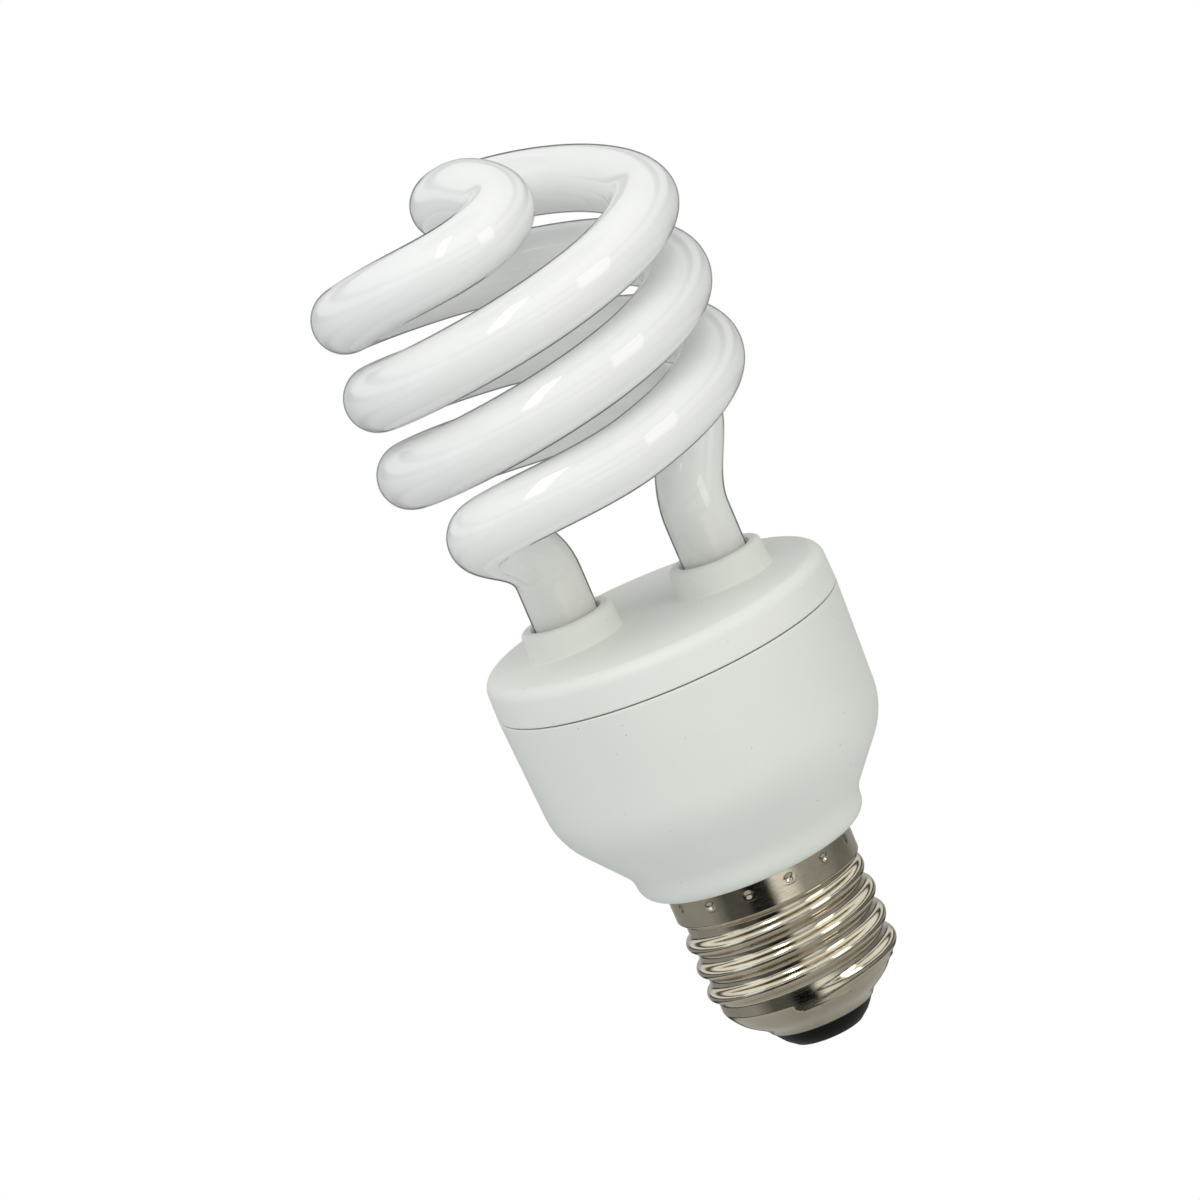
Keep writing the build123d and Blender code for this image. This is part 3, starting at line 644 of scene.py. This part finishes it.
def nickel():
    """Bright nickel plate on rolled sheet: fine turning lines, faint stains and a few pits."""
    mat, tree, out = material("nickel_plate")
    made = surface(tree, out, Metallic=1.0)
    stains = noise_of(tree, 160.0, detail=5.0, roughness=0.6)
    stops = [(0.3, (0.66, 0.6, 0.47)), (0.55, (0.8, 0.745, 0.6)), (0.75, (0.84, 0.79, 0.67))]
    tree.links.new(ramp(tree, stains, stops), made.inputs["Base Color"])
    tree.links.new(remapped(tree, stains, To_Min=0.07, To_Max=0.17), made.inputs["Roughness"])
    lines = noise_of(tree, 900.0, detail=4.0, roughness=0.7, stretch=(0.12, 0.12, 6.0))
    turned = bump(tree, lines, 0.25, distance=0.00003)
    pits = noise_of(tree, 1400.0, detail=2.0)
    tree.links.new(bump(tree, pits, 0.08, distance=0.00004, under=turned), made.inputs["Normal"])
    return mat


def black_glass():
    dark, light = (0.003, 0.003, 0.003), (0.006, 0.006, 0.006)
    return varied("black_glass", dark, light, (0.3, 0.45), 300.0, grain=0.1, Specular_IOR_Level=0.15)


def contact_metal():
    dark, light = (0.5, 0.49, 0.46), (0.68, 0.67, 0.64)
    return varied("contact_metal", dark, light, (0.3, 0.5), 900.0, metal=1.0, grain=0.3)


def cement():
    # Brown cement, made darker than its own colour as a painted shade for the recess between each leg and
    # its collar.
    dark, light = (0.34, 0.3, 0.22), (0.6, 0.55, 0.43)
    return varied("cement", dark, light, (0.8, 0.95), 1800.0, grain=0.8, grain_scale=3000.0)


# Pieces


def build_tube():
    path = even(centreline(), TUBE_STEP)
    verts, faces = tube(path, TUBE_R, TUBE_SIDES, GLASS_END_R)
    piece("tube_glass", verts, faces, ["discharge_tube"], clear_glass())
    verts, faces = tube(path[1:-1], TUBE_R - GLASS_T, TUBE_SIDES, PHOSPHOR_END_R)
    piece("tube_phosphor", verts, faces, [], phosphor())


def build_housing():
    outer = fillet_profile(HOUSING_OUTER, HOUSING_OUTER_ROUND, OUTER_STEPS)
    inner = fillet_profile(HOUSING_INNER, HOUSING_INNER_ROUND, INNER_STEPS)
    verts, faces = revolve(spread(outer + inner, BODY_STEP), BODY_SIDES)
    white = plastic("housing_plastic", (0.785, 0.82, 0.765), (0.83, 0.855, 0.805))
    piece("ballast_housing", verts, faces, ["lower_housing"], white)


def dome_z(r):
    """The height of the cover's domed top, as an arc through its edge and its middle."""
    rise = DOME_Z - EDGE_Z
    radius = (EDGE_R**2 + rise**2) / (2 * rise)
    return DOME_Z - radius + math.sqrt(radius**2 - r**2)


def build_cover():
    corner = [
        (SEAM_R - COVER_CHAMFER, COVER_FOOT_Z),
        (SEAM_R - COVER_DRAFT, COVER_FOOT_Z),
        (EDGE_R, EDGE_Z),
        (DOME_START_R, dome_z(DOME_START_R)),
    ]
    side = fillet_profile(corner, COVER_ROUND, LID_STEPS)
    top = [(r, dome_z(r)) for r in np.linspace(*DOME_RADII)] + [(0.0, DOME_Z)]
    under = [
        (0.0, UNDER_Z),
        (UNDER_MIDDLE_R, UNDER_Z),
        (RIM_INNER_R, UNDER_Z),
        (RIM_INNER_R, SEAM_Z - RIM_DROP),
        (RIM_OUTER_R, SEAM_Z - RIM_DROP),
        (RIM_OUTER_R, COVER_FOOT_Z),
    ]
    lid = revolve(spread(under + side, BODY_STEP) + top, BODY_SIDES, closed=False)
    verts, faces = merged([lid, collar(LEG_X), collar(-LEG_X)])
    white = plastic("cover_plastic", (0.82, 0.845, 0.79), (0.86, 0.875, 0.83))
    piece("top_cover_lid", verts, faces, ["top_cover"], white)


def collar(x):
    """A raised collar whose foot flows into the domed lid."""
    wall = [
        (COLLAR_BORE, COLLAR_MOUTH_Z),
        (COLLAR_BORE, COLLAR_TOP_Z),
        (COLLAR_R, COLLAR_TOP_Z),
        (COLLAR_R + COLLAR_DRAFT, COLLAR_DRAFT_Z),
    ]
    verts, rows = [], []
    for r, z in spread(fillet_profile(wall, COLLAR_ROUND, COLLAR_STEPS), COLLAR_STEP):
        add_row(verts, rows, round_row(x, r, z, COLLAR_SIDES))
    for step in range(1, BLEND_RINGS + 1):
        angle = math.pi / 2 * step / BLEND_RINGS
        r = COLLAR_FOOT_R + COLLAR_BLEND * (1 - math.cos(angle))
        lift = COLLAR_BLEND * (1 - math.sin(angle))
        foot = []
        for px, py, _ in round_row(x, r, 0.0, COLLAR_SIDES):
            ground = dome_z(min(math.hypot(px, py), DOME_LIMIT_R))
            foot.append((px, py, ground - COLLAR_SINK + lift))
        add_row(verts, rows, foot)
    add_row(verts, rows, round_row(x, COLLAR_BORE, COLLAR_LOW_Z, COLLAR_SIDES))
    return verts, [(a, d, c, b) for a, b, c, d in joined(around(rows))]


def thread_rise(d):
    """How far the rolled thread stands above its root at a distance along the axis from the crest."""
    rise = CREST_R - ROOT_R
    half = math.sqrt((2 * ROUND_R) ** 2 - (2 * ROUND_R - rise) ** 2)
    if d >= half:
        return 0.0
    lean = math.acos((2 * ROUND_R - rise) / (2 * ROUND_R))
    if d <= ROUND_R * math.sin(lean):
        return rise - ROUND_R + math.sqrt(ROUND_R**2 - d**2)
    return ROUND_R - math.sqrt(ROUND_R**2 - (half - d) ** 2)


def shell_base(z):
    """The shell's plain outline below the thread and above it."""
    if z < NOSE_Z[-1]:
        return float(np.interp(z, NOSE_Z, NOSE_R))
    if z < SKIRT_Z:
        return ROOT_R
    return ROOT_R + (SKIRT_R - ROOT_R) * smooth_step((z - SKIRT_Z + SKIRT_LEAD) / SKIRT_RUN)


def shell_r(angle, z):
    """The shell's radius with its thread, which fades in and out at its ends."""
    rise = 0.0
    for k in NEAR_TURNS:
        turns = angle / TURN + k
        crest = THREAD_LOW + PITCH * turns
        if abs(z - crest) > PITCH / 2 + CREST_REACH:
            continue
        fade = 1.0
        if turns < 0:
            fade = smooth_step(1 + turns / FADE)
        elif turns > THREAD_TURNS:
            fade = smooth_step(1 - (turns - THREAD_TURNS) / FADE)
        rise = max(rise, fade * thread_rise(abs(z - crest)))
    if rise <= LEAST_RISE or z <= THREAD_FLOOR_Z:
        return shell_base(z)
    return max(shell_base(z), ROOT_R + rise)


def stake_dent(angle, z):
    """How far the nearest staking dimple moves the skirt's wall outwards or inwards."""
    near = (angle / TURN * STAKES) % 1.0
    along = (near if near < 0.5 else near - 1.0) * TURN / STAKES * SKIRT_R
    gap = math.hypot(along, z - (NECK_Z - STAKE_DROP))
    if gap < STAKE_R:
        return -STAKE_DEPTH * (0.5 + 0.5 * math.cos(math.pi * gap / STAKE_R))
    if gap < LIP_R:
        return LIP_RISE * math.sin(math.pi * (gap - STAKE_R) / (LIP_R - STAKE_R))
    return 0.0


def build_shell():
    nose_step, thread_step, skirt_step = SHELL_STEPS
    heights = list(np.arange(NOSE_Z[0], NOSE_Z[-1], nose_step))
    heights += list(np.arange(NOSE_Z[-1], SKIRT_Z + FINE_ABOVE_SKIRT, thread_step))
    heights += list(np.arange(SKIRT_Z + FINE_ABOVE_SKIRT, NECK_Z - NECK_MARGIN, skirt_step))
    heights += [NECK_Z - LAST_STEP, NECK_Z]
    verts, rows = [], []
    for z in heights:
        row = []
        for a in circle(SHELL_SIDES):
            r = shell_r(a, z) + stake_dent(a, z)
            row.append((r * math.cos(a), r * math.sin(a), z))
        add_row(verts, rows, row)
    for r, z in SHELL_INNER:
        add_row(verts, rows, round_row(0.0, r, z, SHELL_SIDES))
    faces = joined(around(rows))
    piece("screw_cap_shell", verts, faces, ["screw_shell"], nickel())


def build_cap_end():
    verts, faces = revolve(INSULATOR, INSULATOR_SIDES, closed=False)
    piece("insulator_ring", verts, faces, ["cap_insulator"], black_glass())
    verts, faces = revolve(CONTACT, CONTACT_SIDES, closed=False)
    piece("contact_disc", verts, faces, ["centre_contact"], contact_metal())


def build_cement():
    meshes = []
    for side, x in enumerate((LEG_X, -LEG_X)):
        verts, faces = revolve(CEMENT, CEMENT_SIDES, x=x)
        lumpy = []
        for px, py, pz in verts:
            if pz > CEMENT_EDGE_Z:
                a = math.atan2(py, px - x)
                waves = [size * math.sin(n * a + turn * side) for n, turn, size in CEMENT_WAVES]
                pz += sum(waves) - CEMENT_SINK
            lumpy.append((px, py, pz))
        meshes.append((lumpy, faces))
    verts, faces = merged(meshes)
    piece("cement_rings", verts, faces, ["tube_cement"], cement())


def dress_ballast():
    """The hidden ballast keeps its CAD shapes, each with a material of its own kind."""
    record = frame["record"]
    colours = {m["slot"]: (m["base_color"][:3], m["class"]) for m in record["materials"]}
    slots = {s["node"]: s["material_slot"] for s in record["subparts"]}
    made = {}
    for name, obj in frame["nodes"].items():
        slot = slots[name]
        if slot not in made:
            colour, kind = colours[slot]
            low = tuple(c * DARKER for c in colour)
            high = tuple(min(1.0, c * LIGHTER) for c in colour)
            metal = 1.0 if kind in ("brushed_steel", "chrome") else 0.0
            rough = (0.25, 0.4) if kind in ("gloss_plastic", "brushed_steel") else (0.5, 0.7)
            made[slot] = varied("ballast_" + slot, low, high, rough, 400.0, metal=metal, grain=0.2)
        obj.data.materials.clear()
        obj.data.materials.append(made[slot])


# Studio


def softbox(name, place, size, power, colour):
    data = bpy.data.lights.new(name, "AREA")
    data.shape = "RECTANGLE"
    data.size, data.size_y = size
    data.energy = power
    data.color = colour
    lamp = bpy.data.objects.new(name, data)
    bpy.context.scene.collection.objects.link(lamp)
    lamp.location = place
    lamp.rotation_euler = (Vector(LIT_MIDDLE) - Vector(place)).to_track_quat("-Z", "Y").to_euler()


def room_colour(tree):
    """What shiny surfaces mirror: light panels, dark gaps between them and a dark opening in front."""

    def grey(stops):
        return [(place, (v, v * 0.99, v * 0.96)) for place, v in stops]

    coord = node(tree, "ShaderNodeTexCoord")
    split = node(tree, "ShaderNodeSeparateXYZ")
    tree.links.new(coord.outputs["Generated"], split.inputs["Vector"])
    height = remapped(tree, split.outputs["Z"], From_Min=-1.0, From_Max=1.0)
    levels = ramp(tree, height, grey(ROOM_LEVELS))
    forward = computed(tree, "MULTIPLY", split.outputs["Y"], -1.0)
    bearing = computed(tree, "ARCTAN2", split.outputs["X"], forward)
    share = remapped(tree, bearing, From_Min=-math.pi, From_Max=math.pi)
    walls = ramp(tree, share, grey(ROOM_WALLS))
    band = ramp(tree, height, [(place, (v, v, v)) for place, v in WALL_BAND])
    room = mixed_colour(tree, band, levels, walls)
    behind = remapped(tree, split.outputs["Y"], From_Min=BEHIND_FROM, From_Max=BEHIND_TO)
    return mixed_colour(tree, behind, room, (BEHIND_GREY, BEHIND_GREY, BEHIND_GREY, 1.0))


def set_world():
    """Plain light on the object, white for the camera, and the room for shiny surfaces."""
    world = bpy.data.worlds.new("studio")
    bpy.context.scene.world = world
    world.use_nodes = True
    tree = world.node_tree
    tree.nodes.clear()
    out = node(tree, "ShaderNodeOutputWorld")
    path = node(tree, "ShaderNodeLightPath")
    seen = computed(tree, "MAXIMUM", path.outputs["Is Camera Ray"], path.outputs["Is Transmission Ray"])
    plain = node(tree, "ShaderNodeBackground", Color=AMBIENT_COLOUR, Strength=AMBIENT)
    white = node(tree, "ShaderNodeBackground", Color=(*WHITE, 1.0), Strength=1.0)
    room = node(tree, "ShaderNodeBackground", Strength=1.0)
    tree.links.new(room_colour(tree), room.inputs["Color"])
    direct = mixed_shader(tree, seen, plain.outputs["Background"], white.outputs["Background"])
    mirrored = mixed_shader(tree, path.outputs["Is Glossy Ray"], direct, room.outputs["Background"])
    tree.links.new(mirrored, out.inputs["Surface"])


def build_floor():
    """Pale paper that takes the lamp's shadow and is white to the camera."""
    mat, tree, out = material("floor_paper")
    diffuse = node(tree, "ShaderNodeBsdfDiffuse")
    paper = ramp(tree, noise_of(tree, 3.0), [(0.3, (0.86, 0.86, 0.86)), (0.7, (0.9, 0.9, 0.9))])
    tree.links.new(paper, diffuse.inputs["Color"])
    glow = node(tree, "ShaderNodeEmission", Strength=1.0)
    path = node(tree, "ShaderNodeLightPath")
    seen = path.outputs["Is Camera Ray"]
    shader = mixed_shader(tree, seen, diffuse.outputs["BSDF"], glow.outputs["Emission"])
    tree.links.new(shader, out.inputs["Surface"])
    mesh = bpy.data.meshes.new("floor")
    ends = [(-1, -1), (1, -1), (1, 1), (-1, 1)]
    mesh.from_pydata([(x * FLOOR_REACH, y * FLOOR_REACH, FLOOR_Z) for x, y in ends], [], [(0, 1, 2, 3)])
    mesh.update()
    floor = bpy.data.objects.new("floor", mesh)
    bpy.context.scene.collection.objects.link(floor)
    floor.data.materials.append(mat)
    floor.visible_glossy = False


build_tube()
build_housing()
build_cover()
build_shell()
build_cap_end()
build_cement()
dress_ballast()
bpy.context.scene.view_settings.view_transform = "Standard"
set_world()
build_floor()
for lamp_values in SOFTBOXES:
    softbox(*lamp_values)
set_camera()

bpy.context.view_layer.update()
